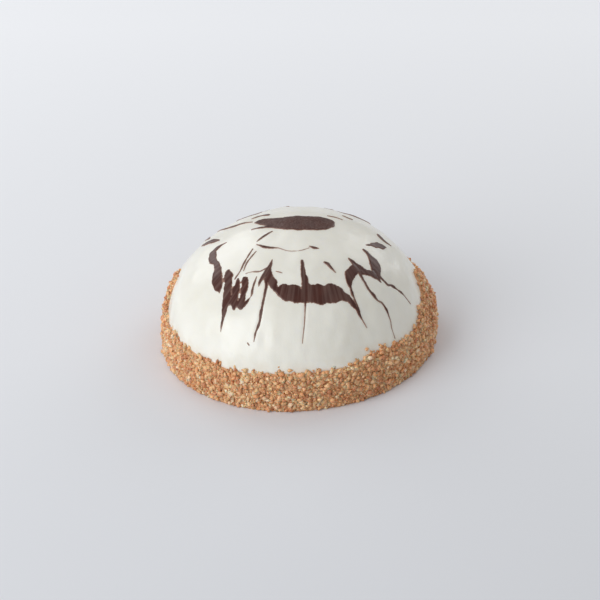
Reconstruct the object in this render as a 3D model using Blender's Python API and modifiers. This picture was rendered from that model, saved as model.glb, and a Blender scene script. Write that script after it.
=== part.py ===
"""Ice cream cake: a glazed dome with feathered chocolate and a coat of toasted nut crumbs round its foot.

Metres, +Z up. The origin is the middle of the flat base, and the front faces -Y. A place on the dome is
given by its turn, in degrees round from the front towards +X, and its reach, in millimetres from the top,
measured down along the glazed surface. The feathering is laid out in the flat plan of those two, with the
top of the dome at its middle.
"""
import math
import random

import bmesh
import bpy
import numpy as np
from mathutils import Euler, Vector, noise

# Driving dimensions of the dome, in metres
DOME_RADIUS = 0.0842
DOME_RISE = 0.0694
WIDEST_HEIGHT = 0.014
FOOT_INSET = 0.0009
OVAL = 0.045
LEAN = 0.0025

# Glaze: a skin over the ice cream, in metres
GLAZE_THICKNESS = 0.0025
GLAZE_GAP = 0.0004
LIP_ROUNDING = 0.0008

# The glaze's lip, just above the crumbs, in reach: where it lies, and the turns over which it climbs
LIP_CLEARANCE = 0.6
LIP_FRONT_REACH = 109.3
LIP_BACK_REACH = 88.0
LIP_LEFT_CLIMB_TURNS = (76, 96)
LIP_RIGHT_CLIMB_TURNS = (62, 102)
LIP_RIGHT_RISE = 2.0
LIP_RIGHT_TURNS = (15, 35)
LIP_RIGHT_END_TURNS = (70, 95)
LIP_WAVE = 1.6
LIP_WAVE_SCALE = 3.1
LIP_RIPPLE = 1.8
LIP_RIPPLE_SCALE = 8.3

# Crumb coat: a bumpy bed, its rounded top edge in reach, and the largest crumbs on it, in metres
BED_TOP = 0.001
BED_EDGE = 1.0
BED_FOOT = 0.0028
BED_BUMP = 0.0009
BED_FULL_SHARE = 0.6
CRUMB_COUNT = 136
CRUMB_MIN = 0.0011
CRUMB_MAX = 0.0016
CRUMB_STRETCH = (0.75, 1.2)
CRUMB_CHIP = (0.86, 1.1)
CRUMB_STAND = 0.2
CRUMB_TRIES = 14
CRUMB_SIDE_TURN = 2.0

# Chocolate: its height over the glaze, and how deep its edges and underside are sunk in it, in metres
CHOCOLATE_RELIEF = 0.0009
CHOCOLATE_EDGE = 0.0005
CHOCOLATE_ROOT = 0.0012
LEAST_RELIEF_SHARE = 0.4

# The same in the plan's millimetres: half width of full relief, width of the sloping edge, least half width
FULL_RELIEF_WIDTH = 3.0
SHOULDER = 1.0
SHOULDER_SHARE = 0.6
LEAST_WIDTH = 0.3

# Fineness of the faceted solids
TURN_STEPS = 72
GLAZE_ROWS = 10
CORE_ROWS = 5
BED_ROWS = 7
STATION_SPACING = 6.0
WIDE_END = 1.0
END_ANGLES = (70, 30)
ELLIPSE_SAMPLES = 500
WELD = 0.00005
SHARP_ANGLE = math.radians(50)

MM = 0.001
SEED = 7
NOISE_LEVEL = 0.3
GLAZE_COLOUR = (0.86, 0.84, 0.78, 1.0)
GLAZE_ROUGHNESS = 0.25
CRUMB_COLOUR = (0.50, 0.26, 0.11, 1.0)
CRUMB_ROUGHNESS = 0.75

# Chocolate strokes seen from the front: points of turn, reach and half width, in degrees and millimetres
RING_LEFT = [(-87, 47.5, 0.4), (-86, 52.5, 1.5), (-82.5, 56.7, 2.5), (-76, 58.3, 2.6), (-70, 57.9, 2),
             (-65, 58, 2.1), (-60, 60.3, 2.9), (-56, 63.2, 3.7), (-51.5, 66, 3.3), (-47.5, 69, 0.8)]
LEFT_BANDS = [
    [(-53.5, 56, 0.8), (-50, 58.3, 2.3), (-46, 62.5, 2.6), (-42.5, 67.5, 2.8), (-39.5, 73, 2.8),
     (-37.7, 78, 1.7), (-36.8, 83, 1.1), (-35.7, 90, 0.3)],
    [(-42.5, 57, 0.8), (-40.2, 61, 2.1), (-37.7, 66, 2.5), (-35.3, 71.5, 2.4), (-33.5, 74.5, 1)],
    [(-39, 55.3, 1.2), (-36.3, 57.2, 2.4), (-34, 61.5, 2.2), (-32.5, 66, 1.9), (-31.2, 70.5, 2.8),
     (-30.5, 72.5, 1.8)],
    [(-30, 71.5, 1.4), (-28.6, 68, 1.1), (-28, 65, 0.4)],
]
FLAME_LEG = [(-27.8, 37, 0.4), (-26.3, 42, 1.3), (-25.6, 46, 1.7), (-26.6, 51, 1.8), (-26.8, 54.5, 1.1),
             (-26, 57.5, 0.3)]
FLAME_ARM = [(-25.5, 45, 1.5), (-23, 48.5, 2), (-20, 51.4, 2.5), (-17, 54.3, 2.8), (-15, 57.2, 1.4)]
RING_MIDDLE = [(-9, 58.2, 5), (-6.5, 59.6, 4.9), (-3, 59.4, 5.9), (0.5, 62.6, 3.4), (5, 61, 5),
               (11, 60.2, 6.4), (14.5, 61.6, 6.8), (17.3, 62.2, 4.5), (21, 61.9, 7), (24.5, 63.2, 5.4),
               (27.5, 65, 3.4), (30, 67.3, 2.8), (32, 71.3, 2.1), (33.6, 76, 1.5), (35, 83, 0.8),
               (36.3, 90, 0.3)]
RING_RIGHT = [(35, 78, 0.5), (34.6, 68, 0.8), (35, 61.5, 1.3), (36.6, 56.3, 2.8), (39.5, 53.3, 3.8),
              (43, 52, 3.8), (46.5, 51.3, 3.4), (50, 53.8, 3.3), (53, 57.2, 2.7), (56.3, 61, 2.7),
              (59.5, 61.3, 3.6), (63.5, 57.5, 4.7), (66.8, 52.5, 3), (68.3, 48.5, 1.8), (69.3, 44.5, 1.2)]
RING_FAR_RIGHT = [(78, 44.3, 0.5), (81, 46.8, 1.3), (85, 50, 2.5), (89, 54, 3.1), (91.3, 57, 1.8),
                  (92.5, 59.5, 0.4)]
PEAKS = [
    [(2.6, 35.5, 0.9), (3.2, 42, 1.35), (3.9, 48, 1.8), (4.6, 53, 2.2), (5.2, 59, 2.9)],
    [(48.3, 42.5, 0.6), (48.5, 45, 1.4), (49, 48, 2), (49.5, 51, 2.6)],
]
DRAGS = [
    [(-23.5, 52, 1.2), (-21, 57, 1), (-19.9, 64, 0.8), (-18.9, 72, 1), (-18.3, 79, 0.9), (-19, 85, 0.8),
     (-19.2, 91, 0.3)],
    [(4.6, 63, 1.2), (4.6, 72, 0.8), (4.1, 80, 0.6), (2.8, 91, 0.3)],
    [(47.7, 54, 1), (46.8, 61, 1), (46.6, 67, 1), (47.6, 73, 1.3), (48.8, 77, 0.8), (50.8, 80, 0.7),
     (51.8, 85, 1.1), (51.6, 89, 0.8), (51.3, 93, 0.5), (50.2, 97, 0.5), (49.8, 104, 0.4)],
    [(58.5, 62, 2.2), (57.9, 65.5, 1.5), (58.2, 68.5, 0.4)],
    [(60.2, 64, 1.1), (61.4, 70, 1.1), (62.6, 73, 0.8), (64.4, 74, 1.1), (66.2, 77.2, 1.1), (67.3, 80, 0.8),
     (68.3, 82.5, 1), (69.2, 86, 0.6), (70.3, 93, 0.4)],
    [(-105, 68.5, 0.8), (-102.3, 62.5, 2), (-99.2, 57.5, 2.2), (-97.5, 54, 0.6)],
    [(-113, 68, 0.6), (-117, 72.5, 1.6), (-121, 76, 0.6)],
]
THIN_STROKES = [
    [(-72.5, 18.5, 0.5), (-66.8, 24.5, 1), (-62.5, 30.5, 0.4)],
    [(-58, 32, 0.4), (-44, 29.8, 1.2), (-30, 27, 0.4)],
    [(14, 24, 0.4), (20, 26, 1.2), (25.5, 27.2, 0.4)],
    [(-55, 36, 0.6), (-49.5, 45, 0.7), (-45.7, 52, 0.6), (-44.5, 58, 0.4)],
    [(-49.5, 36, 0.5), (-46.8, 45, 0.6), (-43.5, 51, 0.3)],
    [(24, 38.8, 0.7), (26.5, 41, 1.3), (28, 45, 1), (29.3, 48.5, 0.4)],
    [(-40.3, 52, 0.3), (-36.8, 49.5, 0.5), (-31.2, 47.5, 0.6), (-27.8, 44, 0.4)],
    [(-19, 45, 0.3), (-16, 45.2, 0.5), (-13.5, 45.7, 0.3)],
    [(-31.3, 51.5, 0.3), (-29.7, 58, 0.8), (-27.8, 64, 0.6)],
    [(-30, 27, 0.4), (-15, 27.6, 0.4), (0, 27.4, 0.4), (13, 25.5, 0.4)],
    [(-22, 92.5, 0.8), (-21.2, 93.5, 0.8)],
    [(134, 24, 0.4), (127, 27.5, 0.7), (119, 31, 0.4)],
    [(134, 39, 0.6), (125, 41.5, 0.9)],
    [(-121, 66, 0.5), (-115, 50, 0.9), (-114.5, 34, 0.5)],
    [(104, 54.5, 0.6), (101.8, 56.8, 1.4), (100, 60, 0.9), (99, 64, 0.3)],
]
TOP_POOL = [(-112, 30, 1.5), (-115, 26, 4.2), (-112, 13, 8), (180, 3, 9.8), (110, 13, 8.4), (110, 18, 5.5)]

# The half behind is made by a rule with the same habits: lobes, drags outward and short peaks inward
BACK_START = [(131, 66, 0.4), (136, 65, 1.5)]
BACK_FIRST_TURN = 146
BACK_LOBES = 5
BACK_LOBE_TURN = 17
BACK_REACHES = (62, 66)
BACK_SWELLS = (3.5, 6.5)
BACK_WAIST_RISES = (1, 3)
BACK_WAIST_WIDTH = 2.4
BACK_DRAG_TURNS = (1, 5)
BACK_TIPS = (78, 84)
BACK_TIP_TURNS = (-1, 3)

# Their points: turn and reach from the start, and a share of the swell or a half width
BACK_LOBE = [(-5, -2, 0.7), (0, 0, 1), (5, -1, 0.75)]
BACK_DRAG = [(0, 0, 3), (1, 9, 1.5)]
BACK_PEAK = [(0, -2, 2.8), (1, -8, 1.4), (1, -13, 0.4)]


def clear_scene():
    """Removes what the file holds, so that the model starts empty."""
    for leftover in list(bpy.data.objects):
        bpy.data.objects.remove(leftover, do_unlink=True)


def add_collection(name):
    collection = bpy.data.collections.new(name)
    bpy.context.scene.collection.children.link(collection)
    return collection


def add_object(name, mesh, collection):
    made = bpy.data.objects.new(name, mesh)
    collection.objects.link(made)
    return made


def apply_modifiers(thing):
    """Replaces an object's mesh with what its modifiers make of it."""
    depsgraph = bpy.context.evaluated_depsgraph_get()
    mesh = bpy.data.meshes.new_from_object(thing.evaluated_get(depsgraph))
    thing.modifiers.clear()
    thing.data = mesh


def smooth_step(low, high, value):
    share = min(1.0, max(0.0, (value - low) / (high - low)))
    return share * share * (3 - 2 * share)


# The dome's form

ELLIPSE_ANGLES = np.linspace(0, math.pi / 2, ELLIPSE_SAMPLES)
ELLIPSE_SPEED = np.hypot(DOME_RADIUS * np.cos(ELLIPSE_ANGLES), DOME_RISE * np.sin(ELLIPSE_ANGLES)) / MM
ELLIPSE_STEPS = (ELLIPSE_SPEED[1:] + ELLIPSE_SPEED[:-1]) / 2 * np.diff(ELLIPSE_ANGLES)
ELLIPSE_REACHES = np.concatenate([[0.0], np.cumsum(ELLIPSE_STEPS)])
WIDEST_REACH = float(ELLIPSE_REACHES[-1])
BASE_REACH = WIDEST_REACH + WIDEST_HEIGHT / MM


def dome_point(turn, reach, lift=0.0):
    """The point of the dome at a turn and reach, lifted off the glazed surface by a height in metres."""
    if reach <= WIDEST_REACH:
        angle = float(np.interp(reach, ELLIPSE_REACHES, ELLIPSE_ANGLES))
        outward = Vector((math.sin(angle) / DOME_RADIUS, math.cos(angle) / DOME_RISE)).normalized()
        radius = DOME_RADIUS * math.sin(angle) + lift * outward.x
        height = WIDEST_HEIGHT + DOME_RISE * math.cos(angle) + lift * outward.y
    else:
        angle = math.pi / 2
        fall = min(WIDEST_HEIGHT, (reach - WIDEST_REACH) * MM)
        radius = DOME_RADIUS - FOOT_INSET * (fall / WIDEST_HEIGHT) ** 2 + lift
        height = WIDEST_HEIGHT - fall
    heading = math.radians(turn)
    radius *= 1 - OVAL * math.sin(2 * heading) * math.sin(angle) ** 2
    rise = min(1.0, max(0.0, (height - WIDEST_HEIGHT) / DOME_RISE))
    lean = LEAN * math.sin(math.pi * rise) ** 2
    return Vector((radius * math.sin(heading) - lean, -radius * math.cos(heading), height))


def lip_reach(turn):
    """Where the crumbs begin: low in front, higher at the sides and behind, and uneven all round."""
    heading = math.radians(turn)
    signed = math.degrees(math.atan2(math.sin(heading), math.cos(heading)))
    climb_turns = LIP_RIGHT_CLIMB_TURNS if signed > 0 else LIP_LEFT_CLIMB_TURNS
    climb = (LIP_FRONT_REACH - LIP_BACK_REACH) * smooth_step(*climb_turns, abs(signed))
    right = LIP_RIGHT_RISE * smooth_step(*LIP_RIGHT_TURNS, signed)
    right *= 1 - smooth_step(*LIP_RIGHT_END_TURNS, signed)
    spot = Vector((math.sin(heading), math.cos(heading), NOISE_LEVEL))
    wave = LIP_WAVE * noise.noise(spot * LIP_WAVE_SCALE)
    ripple = LIP_RIPPLE * noise.noise(spot * LIP_RIPPLE_SCALE)
    return LIP_FRONT_REACH - climb - right + wave + ripple


def turned_solid(name, rows, collection):
    """A solid turned from a profile of rows, whose rings then follow the dome's own uneven form.

    A row holds its share of the way from the top to the lip, its share of the way from the lip to the
    base, its offset in reach, its lift and the height of its bumps. A row of None is the base's middle.
    """
    draw = random.Random(SEED)

    def place(row, turn):
        if row is None:
            return Vector((0.0, 0.0, 0.0))
        to_lip, to_base, offset, lift, bump = row
        lip = lip_reach(turn)
        reach = to_lip * lip + to_base * (BASE_REACH - lip) + offset
        return dome_point(turn, reach, lift + draw.uniform(-bump, bump))

    profile = [place(row, 90.0) for row in rows]
    line = bpy.data.meshes.new(name)
    edges = [(k, k + 1) for k in range(len(rows) - 1)]
    line.from_pydata([(spot.x, 0.0, spot.z) for spot in profile], edges, [])
    turning = add_object(name, line, collection)
    screw = turning.modifiers.new("Turn", "SCREW")
    screw.steps = TURN_STEPS
    screw.render_steps = TURN_STEPS
    apply_modifiers(turning)

    mesh = bmesh.new()
    mesh.from_mesh(turning.data)
    for index, vertex in enumerate(mesh.verts):
        step, row = divmod(index, len(rows))
        vertex.co = place(rows[row], 90.0 + 360.0 * step / TURN_STEPS)
    bmesh.ops.remove_doubles(mesh, verts=mesh.verts, dist=WELD)
    mesh.to_mesh(turning.data)
    mesh.free()
    return turning


def join_all(base, pieces):
    """Joins a collection of pieces to the base with one union, and removes them."""
    union = base.modifiers.new("Join", "BOOLEAN")
    union.operation = "UNION"
    union.operand_type = "COLLECTION"
    union.collection = pieces
    apply_modifiers(base)
    for piece in list(pieces.objects):
        bpy.data.objects.remove(piece, do_unlink=True)


def finish_surface(thing, colour, roughness):
    """Gives a piece its material, and smooth shading with its sharp edges kept."""
    material = bpy.data.materials.new(thing.name)
    material.use_nodes = True
    shader = material.node_tree.nodes["Principled BSDF"]
    shader.inputs["Base Color"].default_value = colour
    shader.inputs["Roughness"].default_value = roughness
    shader.inputs["Metallic"].default_value = 0.0
    material.diffuse_color = colour
    thing.data.materials.clear()
    thing.data.materials.append(material)
    thing.data.shade_smooth()
    thing.data.set_sharp_from_angle(angle=SHARP_ANGLE)


# The chocolate

def back_strokes():
    """The feathering behind: each lobe swells the ring, with a drag after it or a peak above it."""
    draw = random.Random(SEED)
    strokes = []
    ring = list(BACK_START)
    for lobe in range(BACK_LOBES):
        middle = BACK_FIRST_TURN + BACK_LOBE_TURN * lobe + draw.uniform(-2, 2)
        reach = draw.uniform(*BACK_REACHES)
        swell = draw.uniform(*BACK_SWELLS)
        waist = middle + BACK_LOBE_TURN / 2
        ring += [(middle + turn, reach + fall, swell * share) for turn, fall, share in BACK_LOBE]
        ring.append((waist, reach - draw.uniform(*BACK_WAIST_RISES), BACK_WAIST_WIDTH))
        start = middle + draw.uniform(*BACK_DRAG_TURNS)
        tip_reach = draw.uniform(*BACK_TIPS)
        drag = [(start + turn, reach + fall, width) for turn, fall, width in BACK_DRAG]
        drag.append((start + draw.uniform(*BACK_TIP_TURNS), tip_reach, LEAST_WIDTH))
        strokes.append(drag)
        if lobe % 2 == 0:
            strokes.append([(waist + turn, reach + fall, width) for turn, fall, width in BACK_PEAK])
    strokes.append(ring)
    return strokes


def stations_along(points):
    """Stations of x, y and half width in the flat plan, evenly along a smooth curve through the points."""
    knots = []
    for turn, reach, width in points:
        heading = math.radians(turn)
        knots.append(Vector((reach * math.sin(heading), -reach * math.cos(heading), width)))
    knots.insert(0, knots[0] * 2 - knots[1])
    knots.append(knots[-1] * 2 - knots[-2])
    stations = []
    for before, start, end, after in zip(knots, knots[1:], knots[2:], knots[3:]):
        pieces = max(1, round((end.xy - start.xy).length / STATION_SPACING))
        for step in range(pieces):
            share = step / pieces
            leaving = (end - before) / 2
            arriving = (after - start) / 2
            bend = (start - end) * 2 + leaving + arriving
            sway = (end - start) * 3 - leaving * 2 - arriving
            stations.append(((bend * share + sway) * share + leaving) * share + start)
    stations.append(knots[-2])
    return stations


def rounded_end(end, inner):
    """Stations beyond a stroke's wide end that bring it to a round close, from the close inwards."""
    outward = (end.xy - inner.xy).normalized()
    closing = []
    for angle in END_ANGLES:
        spot = end.xy + outward * end.z * math.sin(math.radians(angle))
        closing.append(Vector((spot.x, spot.y, end.z * math.cos(math.radians(angle)))))
    return closing


def chocolate_stroke(points, collection):
    """One stroke: a lens-shaped band lofted along its stations, sunk a little way into the glaze."""
    stations = stations_along(points)
    if stations[0].z >= WIDE_END:
        stations = rounded_end(stations[0], stations[1]) + stations
    if stations[-1].z >= WIDE_END:
        stations += reversed(rounded_end(stations[-1], stations[-2]))
    mesh = bmesh.new()
    loops = []
    for index, station in enumerate(stations):
        ahead = stations[min(index + 1, len(stations) - 1)].xy
        behind = stations[max(index - 1, 0)].xy
        along = (ahead - behind).normalized()
        across = Vector((-along.y, along.x))
        width = max(station.z, LEAST_WIDTH)
        relief = CHOCOLATE_RELIEF * max(LEAST_RELIEF_SHARE, min(1.0, width / FULL_RELIEF_WIDTH))
        shoulder = width - min(SHOULDER, SHOULDER_SHARE * width)
        section = [(-width, -CHOCOLATE_EDGE), (-shoulder, relief), (shoulder, relief),
                   (width, -CHOCOLATE_EDGE), (0, -CHOCOLATE_ROOT)]
        loop = []
        for side, lift in section:
            spot = station.xy + across * side
            turn = math.degrees(math.atan2(spot.x, -spot.y))
            loop.append(mesh.verts.new(dome_point(turn, spot.length, lift)))
        loops.append(loop)
    for first, second in zip(loops, loops[1:]):
        for corner in range(len(first)):
            following = (corner + 1) % len(first)
            mesh.faces.new((first[corner], first[following], second[following], second[corner]))
    mesh.faces.new(loops[0])
    mesh.faces.new(loops[-1])
    bmesh.ops.recalc_face_normals(mesh, faces=mesh.faces)
    stroke = bpy.data.meshes.new("stroke")
    mesh.to_mesh(stroke)
    mesh.free()
    add_object("stroke", stroke, collection)


# The crumbs

def add_crumb(centre, size, draw, collection):
    """One chip of toasted nut: a low sphere, stretched, turned and with its corners knocked about."""
    mesh = bmesh.new()
    bmesh.ops.create_icosphere(mesh, subdivisions=1, radius=size)
    stretch = Vector([draw.uniform(*CRUMB_STRETCH) for _ in range(3)])
    spin = Euler([draw.uniform(0, math.tau) for _ in range(3)]).to_matrix()
    for vertex in mesh.verts:
        vertex.co = centre + spin @ (vertex.co * stretch) * draw.uniform(*CRUMB_CHIP)
    chip = bpy.data.meshes.new("crumb")
    mesh.to_mesh(chip)
    mesh.free()
    add_object("crumb", chip, collection)


def scatter_crumbs(bed, collection):
    """Spreads the largest crumbs over the coat, each in the roomiest of a few places drawn for it."""
    draw = random.Random(SEED)
    taken = []
    for _ in range(CRUMB_COUNT):
        size = draw.uniform(CRUMB_MIN, CRUMB_MAX)
        room = size * CRUMB_STRETCH[1] * CRUMB_CHIP[1] / MM
        roomiest = -1.0
        for _ in range(CRUMB_TRIES):
            turn = draw.uniform(0, 360)
            lip = max(lip_reach(turn + side) for side in (-CRUMB_SIDE_TURN, 0, CRUMB_SIDE_TURN))
            reach = draw.uniform(lip + room + LIP_CLEARANCE, BASE_REACH - room - LIP_CLEARANCE)
            place = dome_point(turn, reach, bed_lift((reach - lip) / (BASE_REACH - lip)))
            nearest = min(((place - other).length for other in taken), default=1.0)
            if nearest > roomiest:
                roomiest = nearest
                chosen = place
        taken.append(chosen)
        _, seat, outward, _ = bed.closest_point_on_mesh(chosen)
        add_crumb(seat + outward * CRUMB_STAND * size, size, draw, collection)


def bed_lift(share):
    """How far the crumb coat's bed stands out from the glazed surface, from its top to the base."""
    return BED_TOP + (BED_FOOT - BED_TOP) * smooth_step(0, BED_FULL_SHARE, share)


def build_glaze(collection, strokes):
    """The glaze: an ivory skin with a rounded lip, and the chocolate joined to it."""
    rows = [(row / GLAZE_ROWS, 0, 0, 0, 0) for row in range(GLAZE_ROWS)]
    rounding = LIP_ROUNDING / MM
    rows.append((1, 0, -LIP_CLEARANCE - rounding, 0, 0))
    rows.append((1, 0, -LIP_CLEARANCE, -LIP_ROUNDING, 0))
    rows.append((1, 0, -LIP_CLEARANCE, -GLAZE_THICKNESS, 0))
    rows += [(row / CORE_ROWS, 0, 0, -GLAZE_THICKNESS, 0) for row in reversed(range(CORE_ROWS))]
    glaze = turned_solid("glaze", rows, collection)
    every_stroke = [RING_LEFT, FLAME_LEG, FLAME_ARM, RING_MIDDLE, RING_RIGHT, RING_FAR_RIGHT, TOP_POOL]
    every_stroke += LEFT_BANDS + PEAKS + DRAGS + THIN_STROKES + back_strokes()
    for points in every_stroke:
        chocolate_stroke(points, strokes)
    join_all(glaze, strokes)
    finish_surface(glaze, GLAZE_COLOUR, GLAZE_ROUGHNESS)


def build_cake(collection, crumbs):
    """The ice cream body under the glaze, solid to its flat base, with the crumb coat round its foot."""
    depth = -GLAZE_THICKNESS - GLAZE_GAP
    rows = [(row / CORE_ROWS, 0, 0, depth, 0) for row in range(CORE_ROWS + 1)]
    rows.append((1, 0, 0, 0, 0))
    rows.append((1, 0, BED_EDGE, BED_TOP, 0))
    for row in range(1, BED_ROWS):
        rows.append((1, row / BED_ROWS, 0, bed_lift(row / BED_ROWS), BED_BUMP))
    rows.append((1, 1, 0, BED_FOOT - BED_BUMP, 0))
    rows.append(None)
    cake = turned_solid("cake", rows, collection)
    scatter_crumbs(cake, crumbs)
    join_all(cake, crumbs)
    finish_surface(cake, CRUMB_COLOUR, CRUMB_ROUGHNESS)


clear_scene()
model = add_collection("ice cream cake")
joined = add_collection("joined pieces")
build_cake(model, joined)
build_glaze(model, joined)
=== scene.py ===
"""Looks of the ice cream cake: glossy ivory glaze, feathered chocolate and a coat of toasted nut crumbs.

Metres, +Z up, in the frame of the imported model. A place on the dome is given by its turn, in degrees round
from the front towards +X, and its reach, in millimetres from the top, down along the glazed surface. The
flat plan is a map of the dome in millimetres: X is reach * sin(turn) and Y is -reach * cos(turn).
"""
import math
import random

import bmesh
import bpy
import numpy as np
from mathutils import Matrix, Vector, noise


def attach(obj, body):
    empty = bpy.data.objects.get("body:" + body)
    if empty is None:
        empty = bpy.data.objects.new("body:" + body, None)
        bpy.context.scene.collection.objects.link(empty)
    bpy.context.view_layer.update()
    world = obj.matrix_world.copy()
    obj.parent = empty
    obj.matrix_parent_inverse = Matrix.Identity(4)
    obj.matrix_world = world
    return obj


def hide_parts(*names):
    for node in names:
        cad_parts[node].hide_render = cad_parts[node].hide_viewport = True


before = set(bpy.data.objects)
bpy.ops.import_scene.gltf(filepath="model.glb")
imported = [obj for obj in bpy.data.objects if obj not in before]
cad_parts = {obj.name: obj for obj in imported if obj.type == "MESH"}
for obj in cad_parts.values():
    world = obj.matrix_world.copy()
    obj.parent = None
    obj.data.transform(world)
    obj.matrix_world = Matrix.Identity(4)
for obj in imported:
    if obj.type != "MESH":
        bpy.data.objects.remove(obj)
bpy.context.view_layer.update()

MM = 0.001

# Seeds of the random draws
BACK_SEED = 7
GLAZE_SEED = 7
OUTLINE_SEED = 8
BED_SEED = 9
CHIP_SEED = 10
CRUMB_SEED = 11
CLUMP_SEED = 12

# Random reliefs: how many waves each is a sum of, and how far their lengths spread, as shares
WAVE_TERMS = 14
WAVE_SPREAD = (0.75, 1.35)

# The dome and the crumb coat's bed, as in the solids, in metres and shares
DOME_RADIUS = 0.0842
DOME_RISE = 0.0694
WIDEST_HEIGHT = 0.014
FOOT_INSET = 0.0009
OVAL = 0.045
LEAN = 0.0025
GLAZE_THICKNESS = 0.0025
BED_TOP = 0.001
BED_FOOT = 0.0028
BED_FULL_SHARE = 0.6

# How deep the cake's core lies under the glazed surface, in metres, and the fineness of the dome's table
CORE_DEPTH = 1.2 * GLAZE_THICKNESS
ELLIPSE_POINTS = 500

# The upper edge of the crumbs, as in the solids but lower again behind: reaches and heights in millimetres,
# turns in degrees, the scales of its unevenness, and the fineness of its table
LIP_FRONT_REACH = 109.3
LIP_SIDE_REACH = 88.0
LIP_LEFT_CLIMB_TURNS = (76, 96)
LIP_RIGHT_CLIMB_TURNS = (62, 102)
LIP_RIGHT_RISE = 2.0
LIP_RIGHT_TURNS = (15, 35)
LIP_RIGHT_END_TURNS = (70, 95)
LIP_BACK_DROP = 11.0
LIP_BACK_DROP_TURNS = (95, 107)
LIP_WAVE = 1.6
LIP_WAVE_SCALE = 3.1
LIP_RIPPLE = 1.8
LIP_RIPPLE_SCALE = 8.3
NOISE_LEVEL = 0.3
LIP_TABLE_POINTS = 721

# Chocolate strokes, placed as in the solids, a few of them fuller or finer here: points of turn, reach and
# half width, in degrees and millimetres
RING_LEFT = [(-87, 47.5, 0.4), (-86, 52.5, 1.5), (-82.5, 56.7, 2.5), (-76, 58.3, 2.6), (-70, 57.9, 2),
             (-65, 58, 2.1), (-60, 60.3, 2.9), (-56, 63.2, 3.7), (-51.5, 66, 3.3), (-47.5, 69, 0.8)]
LEFT_BANDS = [
    [(-53.5, 56, 1.6), (-50, 58.3, 2.7), (-46, 62.5, 2.8), (-42.5, 67.5, 2.8), (-39.5, 73, 2.8),
     (-37.7, 78, 1.7), (-36.8, 83, 1.1), (-35.7, 90, 0.3)],
    [(-42.5, 57, 0.8), (-40.2, 61, 2.1), (-37.7, 66, 2.5), (-35.3, 71.5, 2.4), (-33.5, 74.5, 1)],
    [(-39, 55.3, 1.2), (-36.3, 57.2, 2.4), (-34, 61.5, 2.2), (-32.5, 66, 1.9), (-31.2, 70.5, 2.8),
     (-30.5, 72.5, 1.8)],
    [(-30, 71.5, 1.4), (-28.6, 68, 1.1), (-28, 65, 0.4)],
]
FLAME_LEG = [(-27.8, 37, 0.4), (-26.3, 42, 1.3), (-25.6, 46, 1.7), (-26.6, 51, 1.8), (-26.8, 54.5, 1.1),
             (-26, 57.5, 0.3)]
FLAME_ARM = [(-25.5, 45, 1.5), (-23, 48.5, 2), (-20, 51.4, 2.5), (-17, 54.3, 2.8), (-15, 57.2, 1.4)]
RING_MIDDLE = [(-9, 58.2, 5), (-6.5, 59.6, 4.9), (-3, 59.4, 5.9), (0.5, 62.6, 3.4), (5, 61, 5),
               (11, 60.2, 6.4), (14.5, 61.6, 6.8), (17.3, 62.2, 4.5), (21, 61.9, 7), (24.5, 63.2, 5.4),
               (27.5, 65, 3.4), (30, 67.3, 2.8), (32, 71.3, 2.1), (33.6, 76, 1.5), (35, 83, 0.8),
               (36.3, 90, 0.3)]
RING_RIGHT = [(35, 78, 0.5), (34.6, 68, 0.8), (35, 61.5, 1.3), (36.6, 56.3, 2.8), (39.5, 53.3, 3.8),
              (43, 52, 3.8), (46.5, 51.3, 3.4), (50, 53.8, 3.3), (53, 57.2, 2.7), (56.3, 61, 2.7),
              (59.5, 61.3, 3.6), (63.5, 57.5, 4.7), (66.8, 52.5, 3), (68.3, 48.5, 1.8), (69.3, 44.5, 1.2)]
RING_FAR_RIGHT = [(78, 44.3, 0.5), (81, 46.8, 1.3), (85, 50, 2.5), (89, 54, 3.1), (91.3, 57, 1.8),
                  (92.5, 59.5, 0.4)]
PEAKS = [
    [(2.6, 35.5, 0.9), (3.2, 42, 1.5), (3.9, 48, 2.1), (4.6, 53, 2.5), (5.2, 59, 3)],
    [(48.3, 42.5, 0.6), (48.5, 45, 1.4), (49, 48, 2), (49.5, 51, 2.6)],
]
DRAGS = [
    [(-23.5, 52, 1.2), (-21, 57, 1), (-19.9, 64, 0.8), (-18.9, 72, 1), (-18.3, 79, 0.9), (-19, 85, 0.8),
     (-19.2, 91, 0.3)],
    [(4.6, 63, 0.9), (4.6, 69, 0.55), (4.1, 80, 0.45), (2.8, 91, 0.3)],
    [(47.7, 54, 1), (46.8, 61, 1), (46.6, 67, 1), (47.6, 73, 1.3), (48.8, 77, 0.8), (50.8, 80, 0.7),
     (51.8, 85, 1.1), (51.6, 89, 0.8), (51.3, 93, 0.5), (50.2, 97, 0.5), (49.8, 104, 0.4)],
    [(58.5, 62, 2.2), (57.9, 65.5, 1.5), (58.2, 68.5, 0.4)],
    [(60.2, 64, 1.1), (61.4, 70, 1.1), (62.6, 73, 0.8), (64.4, 74, 1.1), (66.2, 77.2, 1.1), (67.3, 80, 0.8),
     (68.3, 82.5, 1), (69.2, 86, 0.6), (70.3, 93, 0.4)],
    [(-105, 68.5, 1.4), (-102.3, 62.5, 2.6), (-99.2, 57.5, 2.6), (-97.5, 54, 0.9)],
    [(-113, 68, 1.1), (-117, 72.5, 2.3), (-121, 76, 1.1)],
]
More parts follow.
